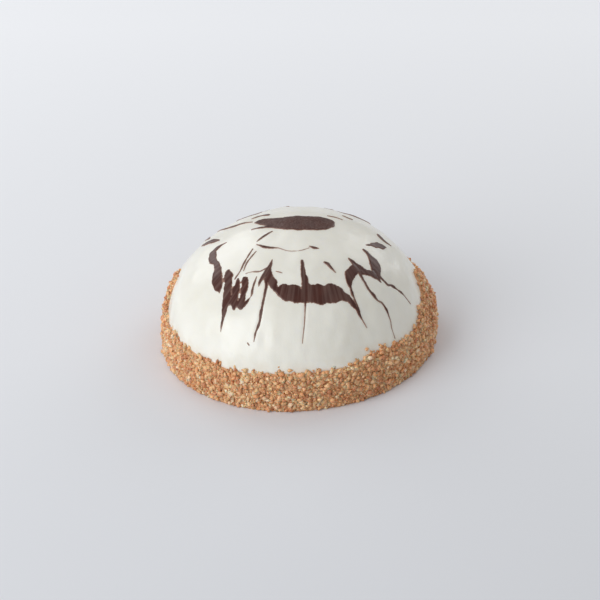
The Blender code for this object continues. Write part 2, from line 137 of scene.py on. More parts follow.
THIN_STROKES = [
    [(-72.5, 18.5, 0.5), (-66.8, 24.5, 1), (-62.5, 30.5, 0.4)],
    [(-58, 32, 0.4), (-44, 29.8, 1.2), (-30, 27, 0.4)],
    [(14, 24, 0.4), (20, 26, 1.2), (25.5, 27.2, 0.4)],
    [(-55, 36, 0.6), (-49.5, 45, 0.7), (-45.7, 52, 0.6), (-44.5, 58, 0.4)],
    [(-49.5, 36, 0.5), (-46.8, 45, 0.6), (-43.5, 51, 0.3)],
    [(24, 38.8, 0.7), (26.5, 41, 1.3), (28, 45, 1), (29.3, 48.5, 0.4)],
    [(-40.3, 52, 0.3), (-36.8, 49.5, 0.5), (-31.2, 47.5, 0.6), (-27.8, 44, 0.4)],
    [(-19, 45, 0.3), (-16, 45.2, 0.5), (-13.5, 45.7, 0.3)],
    [(-31.3, 51.5, 0.3), (-29.7, 58, 0.8), (-27.8, 64, 0.6)],
    [(-30, 27, 0.35), (-15, 27.6, 0.3), (0, 27.4, 0.3), (13, 25.5, 0.35)],
    [(-22, 92.5, 0.55), (-21.2, 93.5, 0.55)],
    [(134, 24, 0.4), (127, 27.5, 0.7), (119, 31, 0.4)],
    [(134, 39, 0.6), (125, 41.5, 0.9)],
    [(-121, 66, 0.6), (-115, 50, 1.2), (-114.5, 34, 0.6)],
    [(104, 54.5, 1.6), (101.8, 56.8, 2), (100, 60, 1.2), (99, 64, 0.5)],
]
TOP_POOL = [(-112, 30, 1.5), (-115, 26, 4.2), (-112, 13, 8), (180, 3, 9.8), (110, 13, 8.4), (110, 18, 5.5)]

# Two tails at the left end of the pool, too fine for the solids
POOL_TAILS = [
    [(-93.8, 30.6, 0.5), (-94.5, 25.4, 1.1), (-95, 20.2, 1.6)],
    [(-124, 37.6, 0.5), (-131, 35, 1.1), (-137, 30.4, 1.6)],
]

# The half behind is made by a rule with the same habits: lobes, drags outward and short peaks inward
BACK_START = [(131, 66, 0.4), (136, 65, 1.5)]
BACK_FIRST_TURN = 146
BACK_TURN_DRIFT = 2
BACK_LOBES = 5
BACK_LOBE_TURN = 17
BACK_REACHES = (62, 66)
BACK_SWELLS = (3.5, 6.5)
BACK_WAIST_RISES = (1, 3)
BACK_WAIST_WIDTH = 2.4
BACK_DRAG_TURNS = (1, 5)
BACK_TIPS = (78, 84)
BACK_TIP_TURNS = (-1, 3)
BACK_TIP_WIDTH = 0.3

# Their points: turn and reach from the start, and a share of the swell or a half width
BACK_LOBE = [(-5, -2, 0.7), (0, 0, 1), (5, -1, 0.75)]
BACK_DRAG = [(0, 0, 3), (1, 9, 1.5)]
BACK_PEAK = [(0, -2, 2.8), (1, -8, 1.4), (1, -13, 0.4)]

# Glaze: its fineness, how it runs on and dips under the crumbs, and its relief, all depths in millimetres
GLAZE_COLUMNS = 620
GLAZE_ROWS = 134
GLAZE_INNER_ROWS = 8
GLAZE_TUCK = 7.0
TUCK_SLOPE = 0.35
TUCK_FADE = (0, 3)
GLAZE_RIM = 0.5
RIM_SHARES = (0.8, 1)
GROOVE_DEPTH = 0.28
GROOVE_WIDTH = 1.7
GROOVE_BANK = 0.12
GROOVE_RUN_ON = 7.0
GROOVE_WINDOW = 4 * GROOVE_WIDTH
GROOVE_FADE_POWER = 0.5
GLAZE_WAVES = [(34.0, 0.22), (13.0, 0.07)]

# The field of fine streaks down the dome: its radius and the reach from which streaks form, in millimetres,
# how far reach is drawn out in it, and the detail of its noise
STREAK_RADIUS = 60.0
STREAK_START = 30.0
STREAK_STRETCH = 0.05
STREAK_DETAIL = 2.0

# Chocolate: plan grid, outline softness and unevenness, and relief, all lengths in millimetres
PLAN_HALF = 106.0
PLAN_STEP = 0.4
PATH_STEP = 1.0
FAR_OUTSIDE = 10.0
JOIN_SOFTNESS = 2.0
JOIN_SHARE = 0.8
CROSSING_SHARES = (0.1, 0.9)
OUTLINE_WAVES = [(6.5, 0.22), (2.4, 0.08)]
FULL_STROKE = 2.0
LEAST_WAVES = 0.12
STROKE_BLURS = 10
LEAST_RUN = 1e-9
CHOCOLATE_HEIGHT = 0.5
CHOCOLATE_ROUNDING = 1.1
CHOCOLATE_DEPTH = 0.6
CHOCOLATE_SEAM = 0.05

# Cake body with the bed of the crumb coat: fineness, bumps, and how it dips under the glaze, in millimetres
BED_COLUMNS = 560
BED_ROWS = 46
CORE_ROWS = 10
BED_START = 2.0
BED_BUMPS = [(5.0, 0.25), (1.8, 0.28)]
BED_BUMP_FADE = (0, 3)
BED_SINK = 0.6
BED_EDGE = (-0.5, 3.0)

# Crumbs: spacing and radius of the coarse and the fine ones, how far each strays from even spacing as a share
# of it, and how the coat begins above the foot and thins out at the top, all lengths in millimetres
COARSE_SPACING = 2.3
COARSE_SIZES = (1.25, 2.15)
FINE_SPACING = 1.9
FINE_SIZES = (0.6, 1.05)
JITTER = 0.45
FOOT_GAP = 0.3
THINNING = (-1.0, 1.2)
CLUMPS = [(10.0, 1.1), (4.5, 0.7)]
STRAY_REACH = 2.5
STRAY_SHARE = 0.02
FLOOR_CLEARANCE = 0.05

# Chips: how many shapes and corners, and their unevenness, stretch, tilt and stand over the bed, as shares
CHIP_SHAPES = 18
CHIP_LEAST_CORNERS = 13
CHIP_CORNER_COUNTS = 5
CHIP_RADII = (0.82, 1.12)
CHIP_VARIATION = (0.85, 1.15)
CHIP_STRETCH = (1.18, 1.0, 0.8)
CHIP_TILT = 0.4
CHIP_STAND = (-0.3, 0.35)

# The kinds of crumbs, with the share of each
CRUMB_KINDS = {"golden": 0.62, "pale": 0.1, "brown": 0.28}

# Looks. Colours are linear red, green and blue, and a ramp lists positions with their colours. Pattern sizes
# are in millimetres. A span gives the values at the start and end of a field's range, and then that range. A
# relief gives its pattern's size, its strength and its depth in millimetres.
GLAZE_CLOUD_SIZE = 22.0
GLAZE_CLOUDS = [(0.3, (0.79, 0.765, 0.685)), (0.7, (0.85, 0.828, 0.76))]
GLAZE_OILED = (0.74, 0.66, 0.53)
GLAZE_GLOSS_SIZE = 9.0
GLAZE_ROUGHNESS = (0.3, 0.42)
GLAZE_DIMPLES = (3.2, 0.2, 0.12)
GLAZE_STREAKS = (2.4, 0.35, 0.15)
OIL_REACH = 12.0
OIL_SPAN = (0.0, 0.7, 0.3, 1.0)
OIL_PATCH_SIZE = 6.0
OIL_PATCH_SPAN = (0.0, 1.0, 0.4, 0.7)

CHOCOLATE_TONE_SIZE = 7.0
CHOCOLATE_TONES = [(0.3, (0.050, 0.012, 0.008)), (0.7, (0.072, 0.020, 0.013))]
# Paler streaks on the chocolate along the pull: partly pulled chocolate and partly painted reflection streaks
PULLED_AND_SHEEN_SIZE = 2.4
PULLED_AND_SHEEN_SPAN = (0.0, 0.45, 0.42, 0.7)
PULLED_AND_SHEEN_COLOUR = (0.20, 0.13, 0.11)
THIN_SPAN = (0.75, 0.0, 0.3, 0.9)
THIN_COLOUR = (0.43, 0.31, 0.25)
EDGE_SPAN = (0.85, 0.0, 0.0, 0.6)
EDGE_COLOUR = (0.40, 0.24, 0.18)
CHOCOLATE_GLOSS_SIZE = 4.0
CHOCOLATE_ROUGHNESS = (0.3, 0.46)
CHOCOLATE_DIMPLES = (2.6, 0.25, 0.1)
CHOCOLATE_STREAKS = (2.0, 0.25, 0.12)

CRUMB_SHADES = {
    "golden": [(0.0, (0.755, 0.38, 0.178)), (0.45, (0.845, 0.46, 0.235)), (1.0, (0.93, 0.565, 0.315))],
    "pale": [(0.0, (0.88, 0.555, 0.325)), (0.5, (0.925, 0.635, 0.41)), (1.0, (0.96, 0.73, 0.525))],
    "brown": [(0.0, (0.545, 0.237, 0.112)), (0.5, (0.65, 0.31, 0.153)), (1.0, (0.75, 0.39, 0.205))],
}
SPECK_SIZE = 1.1
SPECK_SPAN = (0.0, 0.35, 0.52, 0.72)
SPECK_COLOUR = (0.66, 0.50, 0.38)
TOAST_SIZE = 11.0
TOAST_DETAIL = 2.0
TOAST_TONES = [(0.35, (0.84, 0.75, 0.68)), (0.62, (1.0, 1.0, 1.0))]
CRUMB_GLOSS_SIZE = 0.8
CRUMB_ROUGHNESS = (0.28, 0.55)
CRUMB_DIMPLES = (0.7, 0.4, 0.08)

# Nut dust between the crumbs: its tones are darker than the chips, partly as painted shade in the gaps
# between them
DUST_SIZE = 1.1
DUST_DETAIL = 4.0
DUST_GRAIN = 0.65
DUST_AND_SHADE_TONES = [(0.3, (0.50, 0.225, 0.105)), (0.5, (0.66, 0.34, 0.165)), (0.72, (0.80, 0.47, 0.26))]
DUST_DIMPLES = (0.8, 0.8, 0.35)

# Floor: half its side, its colours near the viewer and far behind, and where along Y they change; the change
# is painted light, darker in front and lighter behind as if lit from behind
FLOOR_HALF = 4
FLOOR_NEAR = (0.68, 0.69, 0.725)
FLOOR_FAR = (0.92, 0.93, 0.965)
FLOOR_FADE = (-0.35, 0.5)

# Lights: name, place, aim, width, watts and colour, and then the pale room's colour and strength
LIGHTS = [
    ("key", (-1.22, -1.02, 0.88), (0, 0, 0.03), 1.6, 21, (0.945, 0.975, 1.0)),
    ("behind_left", (-0.9, 1.2, 0.9), (0, 0.2, 0), 1.2, 5.5, (0.96, 0.98, 1.0)),
    ("behind_right", (1.1, 1.3, 0.9), (0, 0.3, 0), 1.2, 6.5, (0.96, 0.98, 1.0)),
]
ROOM_COLOUR = (1.0, 0.995, 0.98)
ROOM_STRENGTH = 0.48

# Camera, aimed a little above the middle of the foot, with its focal length in pixels of the picture
CAMERA_DISTANCE = 1.5
CAMERA_ELEVATION = 31.0
CAMERA_TILT = 59.96
FOCAL_PIXELS = 2325
IMAGE_PIXELS = 600
SENSOR_MM = 36.0


def smooth_step(low, high, value):
    """Rises smoothly from 0 to 1 as the value goes from low to high."""
    share = np.clip((np.asarray(value, float) - low) / (high - low), 0.0, 1.0)
    return share * share * (3 - 2 * share)


def ripples(points, waves, seed):
    """A smooth random relief: for each wavelength and height, a sum of plane waves in seeded directions."""
    draw = np.random.default_rng(seed)
    total = np.zeros(points.shape[:-1])
    for wavelength, height in waves:
        directions = draw.normal(size=(WAVE_TERMS, points.shape[-1]))
        directions /= np.linalg.norm(directions, axis=1, keepdims=True)
        directions *= draw.uniform(*WAVE_SPREAD, (WAVE_TERMS, 1)) * math.tau / wavelength
        phases = draw.uniform(0, math.tau, WAVE_TERMS)
        for direction, phase in zip(directions, phases):
            total += height * math.sqrt(2 / WAVE_TERMS) * np.sin(points @ direction + phase)
    return total


# The dome's form: an ellipse down to its widest, with the reach at each angle, and a short wall below

ELLIPSE_ANGLES = np.linspace(0, math.pi / 2, ELLIPSE_POINTS)
ELLIPSE_SPEED = np.hypot(DOME_RADIUS * np.cos(ELLIPSE_ANGLES), DOME_RISE * np.sin(ELLIPSE_ANGLES)) / MM
ELLIPSE_STEPS = (ELLIPSE_SPEED[1:] + ELLIPSE_SPEED[:-1]) / 2 * np.diff(ELLIPSE_ANGLES)
ELLIPSE_REACHES = np.concatenate([[0.0], np.cumsum(ELLIPSE_STEPS)])
WIDEST_REACH = float(ELLIPSE_REACHES[-1])
BASE_REACH = WIDEST_REACH + WIDEST_HEIGHT / MM


def dome_points(turn, reach, lift):
    """Points of the dome at turns and reaches, lifted off the glazed surface by heights in metres."""
    angle = np.interp(reach, ELLIPSE_REACHES, ELLIPSE_ANGLES)
    out = np.sin(angle) / DOME_RADIUS
    up = np.cos(angle) / DOME_RISE
    length = np.hypot(out, up)
    fall = np.clip((reach - WIDEST_REACH) * MM, 0, WIDEST_HEIGHT)
    radius = DOME_RADIUS * np.sin(angle) - FOOT_INSET * (fall / WIDEST_HEIGHT) ** 2 + lift * out / length
    height = WIDEST_HEIGHT + DOME_RISE * np.cos(angle) - fall + lift * up / length
    heading = np.radians(turn)
    radius = radius * (1 - OVAL * np.sin(2 * heading) * np.sin(angle) ** 2)
    rise = np.clip((height - WIDEST_HEIGHT) / DOME_RISE, 0, 1)
    lean = LEAN * np.sin(math.pi * rise) ** 2
    return np.stack([radius * np.sin(heading) - lean, -radius * np.cos(heading), height], -1)


def plan_points(turn, reach):
    """The flat plan's points at turns and reaches."""
    heading = np.radians(turn)
    return np.stack([reach * np.sin(heading), -reach * np.cos(heading)], -1)


def turn_and_reach(plan):
    """The turns and reaches of points of the flat plan."""
    return np.degrees(np.arctan2(plan[..., 0], -plan[..., 1])), np.hypot(plan[..., 0], plan[..., 1])


def lip_reach(turn):
    """Where the crumbs begin: low in front, highest at the sides, and uneven all round."""
    heading = math.radians(turn)
    signed = math.degrees(math.atan2(math.sin(heading), math.cos(heading)))
    climb_turns = LIP_RIGHT_CLIMB_TURNS if signed > 0 else LIP_LEFT_CLIMB_TURNS
    climb = (LIP_FRONT_REACH - LIP_SIDE_REACH) * smooth_step(*climb_turns, abs(signed))
    climb -= LIP_BACK_DROP * smooth_step(*LIP_BACK_DROP_TURNS, abs(signed))
    right = LIP_RIGHT_RISE * smooth_step(*LIP_RIGHT_TURNS, signed)
    right *= 1 - smooth_step(*LIP_RIGHT_END_TURNS, signed)
    spot = Vector((math.sin(heading), math.cos(heading), NOISE_LEVEL))
    wave = LIP_WAVE * noise.noise(spot * LIP_WAVE_SCALE)
    ripple = LIP_RIPPLE * noise.noise(spot * LIP_RIPPLE_SCALE)
    return LIP_FRONT_REACH - climb - right + wave + ripple


LIP_TURNS = np.linspace(-180, 180, LIP_TABLE_POINTS)
LIP_REACHES = np.array([lip_reach(turn) for turn in LIP_TURNS])


def lip_at(turn):
    """The crumbs' upper edge at any turns, read from its fine table."""
    return np.interp((turn + 180) % 360 - 180, LIP_TURNS, LIP_REACHES)


# Paths in the flat plan

def back_strokes():
    """The feathering behind: each lobe swells the ring, with a drag after it or a peak above it."""
    draw = random.Random(BACK_SEED)
    strokes = []
    ring = list(BACK_START)
    for lobe in range(BACK_LOBES):
        middle = BACK_FIRST_TURN + BACK_LOBE_TURN * lobe + draw.uniform(-BACK_TURN_DRIFT, BACK_TURN_DRIFT)
        reach = draw.uniform(*BACK_REACHES)
        swell = draw.uniform(*BACK_SWELLS)
        waist = middle + BACK_LOBE_TURN / 2
        ring += [(middle + turn, reach + fall, swell * share) for turn, fall, share in BACK_LOBE]
        ring.append((waist, reach - draw.uniform(*BACK_WAIST_RISES), BACK_WAIST_WIDTH))
        start = middle + draw.uniform(*BACK_DRAG_TURNS)
        tip_reach = draw.uniform(*BACK_TIPS)
        drag = [(start + turn, reach + fall, width) for turn, fall, width in BACK_DRAG]
        drag.append((start + draw.uniform(*BACK_TIP_TURNS), tip_reach, BACK_TIP_WIDTH))
        strokes.append(drag)
        if lobe % 2 == 0:
            strokes.append([(waist + turn, reach + fall, width) for turn, fall, width in BACK_PEAK])
    strokes.append(ring)
    return strokes


def smooth_path(points):
    """Stations of x, y and half width along a smooth curve through the points, a step apart."""
    turn, reach, width = np.array(points, float).T
    knots = np.column_stack([plan_points(turn, reach), width])
    knots = np.vstack([2 * knots[0] - knots[1], knots, 2 * knots[-1] - knots[-2]])
    stations = []
    for before, start, end, after in zip(knots, knots[1:], knots[2:], knots[3:]):
        pieces = max(2, round(np.linalg.norm((end - start)[:2]) / PATH_STEP))
        share = (np.arange(pieces) / pieces)[:, None]
        leaving = (end - before) / 2
        arriving = (after - start) / 2
        bend = (start - end) * 2 + leaving + arriving
        sway = (end - start) * 3 - leaving * 2 - arriving
        stations.append(((bend * share + sway) * share + leaving) * share + start)
    stations.append(knots[-2:-1])
    return np.concatenate(stations)


def path_distance(plan, path):
    """For plan points, the distance to the nearest segment of a path, with the half width there."""
    distance = np.full(plan.shape[:-1], np.inf)
    width = np.zeros(plan.shape[:-1])
    for start, end in zip(path, path[1:]):
        run = (end - start)[:2]
        share = np.clip((plan - start[:2]) @ run / max(run @ run, LEAST_RUN), 0, 1)
        away = np.linalg.norm(plan - start[:2] - share[..., None] * run, axis=-1)
        here = start[2] + share * (end[2] - start[2])
        nearer = away - here < distance - width
        distance = np.where(nearer, away, distance)
        width = np.where(nearer, here, width)
    return distance, width


def smooth_union(first, second, softness):
    """The union of two signed distances, with the corner between them filled softly."""
    overlap = np.maximum(softness - np.abs(first - second), 0) / softness
    return np.minimum(first, second) - overlap ** 2 * softness / 4


*BACK_DRAGS, BACK_RING = back_strokes()
RINGS = [RING_LEFT, FLAME_LEG, FLAME_ARM, RING_MIDDLE, RING_RIGHT, RING_FAR_RIGHT, TOP_POOL]
RINGS += LEFT_BANDS + THIN_STROKES + POOL_TAILS + [BACK_RING]
RING_PATHS = [smooth_path(points) for points in RINGS]
DRAG_PATHS = [smooth_path(points) for points in DRAGS + PEAKS + BACK_DRAGS]


# Relief of the glaze

def groove_paths():
    """The marks left where the chocolate was pulled: plan x, y and strength along each, which runs on a
    little past both ends of its stroke."""
    longer = []
    for path in DRAG_PATHS:
        middle = path[:, :2]
        first = middle[0] - middle[2]
        last = middle[-1] - middle[-3]
        head = middle[0] + first / np.linalg.norm(first) * GROOVE_RUN_ON
        tail = middle[-1] + last / np.linalg.norm(last) * GROOVE_RUN_ON
        line = np.vstack([head, middle, tail])
        share = np.linspace(0, 1, len(line))
        longer.append(np.column_stack([line, np.sin(math.pi * share) ** GROOVE_FADE_POWER]))
    return longer


GROOVE_PATHS = groove_paths()


def glaze_relief(plan):
    """Height of the glaze's own unevenness over the true dome, in metres."""
    relief = ripples(plan, GLAZE_WAVES, GLAZE_SEED)
    for path in GROOVE_PATHS:
        # a width of zero gives plain distances from the path
        line = path.copy()
        line[:, 2] = 0.0
        low = line[:, :2].min(0) - GROOVE_WINDOW
        high = line[:, :2].max(0) + GROOVE_WINDOW
        near = np.all((plan > low) & (plan < high), axis=-1)
        if not near.any():
            continue
        away, _ = path_distance(plan[near], line)
        along = np.linalg.norm(plan[near][:, None, :] - line[None, :, :2], axis=-1).argmin(1)
        across = (away / GROOVE_WIDTH) ** 2
        shape = -GROOVE_DEPTH * np.exp(-across) + GROOVE_BANK * across * np.exp(1 - across)
        relief[near] += shape * path[along, 2]
    return relief * MM


# Meshes

def add_mesh(name, points, faces):
    """A new smooth-shaded object from points and faces."""
    mesh = bpy.data.meshes.new(name)
    mesh.from_pydata(np.asarray(points).tolist(), [], faces)
    mesh.polygons.foreach_set("use_smooth", [True] * len(mesh.polygons))
    mesh.update()
    made = bpy.data.objects.new(name, mesh)
    bpy.context.scene.collection.objects.link(made)
    return made


def add_values(thing, name, values):
    """A number for each vertex, which the piece's material reads."""
    attribute = thing.data.attributes.new(name, "FLOAT", "POINT")
    attribute.data.foreach_set("value", np.asarray(values, np.float32))


def add_streaks(thing, turn, reach):
    """For each vertex a place in a field that runs long down the dome and short around it."""
    heading = np.radians(np.ravel(turn))
    radius = STREAK_RADIUS * np.minimum(np.ravel(reach) / STREAK_START, 1)
    around = radius * np.stack([np.sin(heading), np.cos(heading)])
    places = np.stack([*around, STREAK_STRETCH * np.ravel(reach)], -1)
    attribute = thing.data.attributes.new("streak", "FLOAT_VECTOR", "POINT")
    attribute.data.foreach_set("vector", places.astype(np.float32).ravel())


def turned_mesh(name, top, rings, bottom):
    """A closed solid from rings of points, each as long as the next, between a top and a bottom point."""
    rows, columns = rings.shape[:2]
    points = np.concatenate([[top], rings.reshape(-1, 3), [bottom]])
    here = 1 + np.arange(rows)[:, None] * columns + np.arange(columns)
    following = np.roll(here, -1, axis=1)
    quads = np.stack([here[:-1], here[1:], following[1:], following[:-1]], -1).reshape(-1, 4)
    cap = np.stack([np.zeros(columns, int), here[0], following[0]], -1)
    base = np.stack([here[-1], np.full(columns, len(points) - 1), following[-1]], -1)
    return add_mesh(name, points, quads.tolist() + cap.tolist() + base.tolist())


# Glaze

def glaze_points(turn, reach):
    """Points on the glaze, which dips below the crumb coat's bed near its lower edge."""
    past_lip = np.maximum(reach - lip_at(turn), 0)
    tuck = -TUCK_SLOPE * MM * past_lip * smooth_step(*TUCK_FADE, past_lip)
    relief = glaze_relief(plan_points(turn, reach)) * (1 - smooth_step(*TUCK_FADE, past_lip))
    return dome_points(turn, reach, relief + tuck)


def build_glaze():
    """The glaze: a closed skin whose outer side has the relief and whose inner side is plain."""
    turn = np.arange(GLAZE_COLUMNS)[None, :] * 360.0 / GLAZE_COLUMNS
    end = lip_at(turn) + GLAZE_TUCK
    share = (np.arange(1, GLAZE_ROWS + 1) / GLAZE_ROWS)[:, None]
    outer_turn, outer_reach = np.broadcast_arrays(turn, share * end)
    outer = glaze_points(outer_turn, outer_reach)
    share = (np.arange(GLAZE_INNER_ROWS, 0, -1) / GLAZE_INNER_ROWS)[:, None]
    inner_turn, inner_reach = np.broadcast_arrays(turn, share * (end - GLAZE_RIM))
    depth = -GLAZE_THICKNESS - TUCK_SLOPE * MM * GLAZE_TUCK * smooth_step(*RIM_SHARES, share)
    inner = dome_points(inner_turn, inner_reach, depth)
    top = glaze_points(np.zeros(1), np.zeros(1))[0]
    under_top = top - np.array([0, 0, GLAZE_THICKNESS])
    glaze = turned_mesh("glaze_skin", top, np.concatenate([outer, inner]), under_top)
    nearness = 1 - np.clip((lip_at(outer_turn) - outer_reach) / OIL_REACH, 0, 1)
    add_values(glaze, "lip", np.concatenate([[0], nearness.ravel(), np.ones(inner[..., 0].size), [0]]))
    turns = np.concatenate([[0], outer_turn.ravel(), inner_turn.ravel(), [0]])
    reaches = np.concatenate([[0], outer_reach.ravel(), inner_reach.ravel(), [0]])
    add_streaks(glaze, turns, reaches)
    return glaze


# Chocolate

def chocolate_field(plan):
    """At each node of the plan grid, the signed distance to the chocolate's outline, negative inside, and
    the half width of the stroke there; thin strokes have the smoother outlines."""
    field = np.full(plan.shape[:2], FAR_OUTSIDE)
    stroke = np.zeros(plan.shape[:2])
    for path in RING_PATHS + DRAG_PATHS:
        margin = path[:, 2].max() + 2 * JOIN_SOFTNESS
        low = ((path[:, :2].min(0) - margin + PLAN_HALF) / PLAN_STEP).astype(int)
        high = ((path[:, :2].max(0) + margin + PLAN_HALF) / PLAN_STEP).astype(int)
        window = (slice(low[1], high[1]), slice(low[0], high[0]))
        distance, width = path_distance(plan[window], path)
        softness = min(JOIN_SOFTNESS, JOIN_SHARE * path[:, 2].max())
        stroke[window] = np.where(distance - width < field[window], width, stroke[window])
        field[window] = smooth_union(field[window], distance - width, softness)
    for _ in range(STROKE_BLURS):
        stroke = sum(np.roll(stroke, step, axis) for step in (-1, 1) for axis in (0, 1)) / 4
    waves = ripples(plan, OUTLINE_WAVES, OUTLINE_SEED) * np.clip(stroke / FULL_STROKE, LEAST_WAVES, 1)
    return field + waves, stroke


def outlined_faces(field):
    """Faces of the grid cells inside the outline, cut along it: nodes used, edge crossings and faces."""
    inside = field < 0
    node_index = -np.ones(field.shape, int)
    node_index[inside] = np.arange(inside.sum())
    crossings = {}
    crossing_places = []

    def crossing(first, second):
        """The number of the point where the outline cuts a grid edge; it is made at the first call."""
        key = (min(first, second), max(first, second))
        if key not in crossings:
            share = field[key[0]] / (field[key[0]] - field[key[1]])
            crossings[key] = int(inside.sum()) + len(crossing_places)
            start, end = np.array(key)
            crossing_places.append(start + np.clip(share, *CROSSING_SHARES) * (end - start))
        return crossings[key]

    corners = inside[:-1, :-1].astype(int) + inside[1:, :-1] + inside[1:, 1:] + inside[:-1, 1:]
    rows, columns = np.nonzero(corners == 4)
    quads = np.stack([node_index[rows, columns], node_index[rows, columns + 1],
                      node_index[rows + 1, columns + 1], node_index[rows + 1, columns]], -1)
    faces = quads.tolist()
    for row, column in zip(*np.nonzero((corners > 0) & (corners < 4))):
        square = [(row, column), (row, column + 1), (row + 1, column + 1), (row + 1, column)]
        face = []
        for first, second in zip(square, square[1:] + square[:1]):
            if inside[first]:
                face.append(int(node_index[first]))
            if inside[first] != inside[second]:
                face.append(crossing(first, second))
        faces.append(face)
    nodes = np.argwhere(inside).astype(float)
    return nodes, np.array(crossing_places), faces


def build_chocolate():
    """The chocolate: a rounded layer over the glaze, with the same outline below, sunk into it."""
    ticks = np.arange(-PLAN_HALF, PLAN_HALF + PLAN_STEP, PLAN_STEP)
    plan = np.stack(np.meshgrid(ticks, ticks), -1)
    field, stroke = chocolate_field(plan)
    nodes, crossings, faces = outlined_faces(field)

    def plan_of(grid_places):
        """The flat plan's points at places of the grid, given as row and column."""
        return grid_places[:, ::-1] * PLAN_STEP - PLAN_HALF

    def place(grid_places, lift):
        """Points at places of the grid, lifted off the glaze by heights in metres."""
        spots = plan_of(grid_places)
        return dome_points(*turn_and_reach(spots), glaze_relief(spots) + lift)

    depth = -field[field < 0]
    fullness = np.sqrt(1 - (1 - np.minimum(depth / CHOCOLATE_ROUNDING, 1)) ** 2)
    top = place(nodes, CHOCOLATE_HEIGHT * MM * fullness)
    rim = place(crossings, -CHOCOLATE_SEAM * MM)
    under = place(nodes, -CHOCOLATE_DEPTH * MM)
    inner_count = len(nodes)
    below = inner_count + len(crossings)
    under_faces = [[k + below if k < inner_count else k for k in reversed(face)] for face in faces]
    chocolate = add_mesh("chocolate_feathering", np.concatenate([top, rim, under]), faces + under_faces)
    add_values(chocolate, "depth", np.concatenate([depth, np.zeros(len(crossings)), depth]))
    node_strokes = stroke[field < 0]
    edge_strokes = stroke[tuple(np.rint(crossings).astype(int).T)]
    add_values(chocolate, "stroke", np.concatenate([node_strokes, edge_strokes, node_strokes]))
    add_streaks(chocolate, *turn_and_reach(plan_of(np.concatenate([nodes, crossings, nodes]))))
    return chocolate


# Crumb coat

def bed_lift(turn, reach):
    """How far the bed stands out from the glazed surface; above the crumbs it dips under the glaze."""
    lip = lip_at(turn)
    share = (reach - lip) / (BASE_REACH - lip)
    coat = BED_TOP + (BED_FOOT - BED_TOP) * smooth_step(0, BED_FULL_SHARE, share)
    edge = smooth_step(*BED_EDGE, reach - lip)
    return coat * edge - BED_SINK * MM * (1 - edge)


def build_bed():
    """The ice cream body with the bed that the crumbs sit in, down to the flat base."""
    turn = np.arange(BED_COLUMNS)[None, :] * 360.0 / BED_COLUMNS
    start = lip_at(turn) - BED_START
    share = (np.arange(1, CORE_ROWS + 1) / CORE_ROWS)[:, None]
    core_turn, core_reach = np.broadcast_arrays(turn, share * start)
    core = dome_points(core_turn, core_reach, -CORE_DEPTH)
    share = (np.arange(BED_ROWS + 1) / BED_ROWS)[:, None]
    coat_turn, coat_reach = np.broadcast_arrays(turn, start + share * (BASE_REACH - start))
    lift = bed_lift(coat_turn, coat_reach)
    smooth_coat = dome_points(coat_turn, coat_reach, lift)
    bumps = ripples(smooth_coat / MM, BED_BUMPS, BED_SEED) * MM
    bumps = bumps * smooth_step(*BED_BUMP_FADE, coat_reach - start - BED_START)
    coat = dome_points(coat_turn, coat_reach, lift + bumps)
    top = dome_points(np.zeros(1), np.zeros(1), -CORE_DEPTH)[0]
    return turned_mesh("cake_body", top, np.concatenate([core, coat]), np.zeros(3))


def chip_shapes():
    """Broken bits of nut: hulls of points scattered on an uneven ball, as points and triangles."""
    draw = np.random.default_rng(CHIP_SEED)
    shapes = []
    for index in range(CHIP_SHAPES):
        count = CHIP_LEAST_CORNERS + index % CHIP_CORNER_COUNTS
        points = draw.normal(size=(count, 3))
        points *= draw.uniform(*CHIP_RADII, (count, 1)) / np.linalg.norm(points, axis=1, keepdims=True)
        points *= np.array(CHIP_STRETCH) * draw.uniform(*CHIP_VARIATION, 3)
        hull = bmesh.new()
        for point in points:
            hull.verts.new(point)
        made = bmesh.ops.convex_hull(hull, input=hull.verts)
        unused = [item for item in made["geom_interior"] if isinstance(item, bmesh.types.BMVert)]
        bmesh.ops.delete(hull, geom=unused, context="VERTS")
        hull.verts.index_update()
        corners = np.array([vertex.co for vertex in hull.verts])
        triangles = np.array([[vertex.index for vertex in face.verts] for face in hull.faces])
        shapes.append((corners, triangles))
        hull.free()
    return shapes


def scatter(draw, spacing):
    """Turns and reaches spread over the coat and thinning out above it, one in each cell of a loose grid."""
    turns = []
    reaches = []
    top = LIP_REACHES.min() - STRAY_REACH
    for row, reach in enumerate(np.arange(top, BASE_REACH, spacing)):
        angle = float(np.interp(reach, ELLIPSE_REACHES, ELLIPSE_ANGLES))
        around = math.tau * DOME_RADIUS / MM * math.sin(angle)
        count = round(around / spacing)
        half_step = 0.5 * (row % 2)
        turns.append((np.arange(count) + draw.uniform(-JITTER, JITTER, count) + half_step) * 360 / count)
        reaches.append(reach + spacing * draw.uniform(-JITTER, JITTER, count))
    turns = np.concatenate(turns)
    reaches = np.concatenate(reaches)
    past_lip = reaches - lip_at(turns) + ripples(plan_points(turns, reaches), CLUMPS, CLUMP_SEED)
    chance = smooth_step(*THINNING, past_lip) + STRAY_SHARE * (past_lip > -STRAY_REACH)
    kept = (draw.uniform(size=len(turns)) < chance) & (reaches < BASE_REACH - FOOT_GAP)
    return turns[kept], reaches[kept]


def chip_frames(outward, draw):
    """For each chip, three axes: the third near the outward direction, the others turned at random."""
    up = outward + CHIP_TILT * draw.normal(size=outward.shape)
    up /= np.linalg.norm(up, axis=1, keepdims=True)
    side = np.cross(up, draw.normal(size=outward.shape))
    side /= np.linalg.norm(side, axis=1, keepdims=True)
    return np.stack([side, np.cross(up, side), up], axis=2)


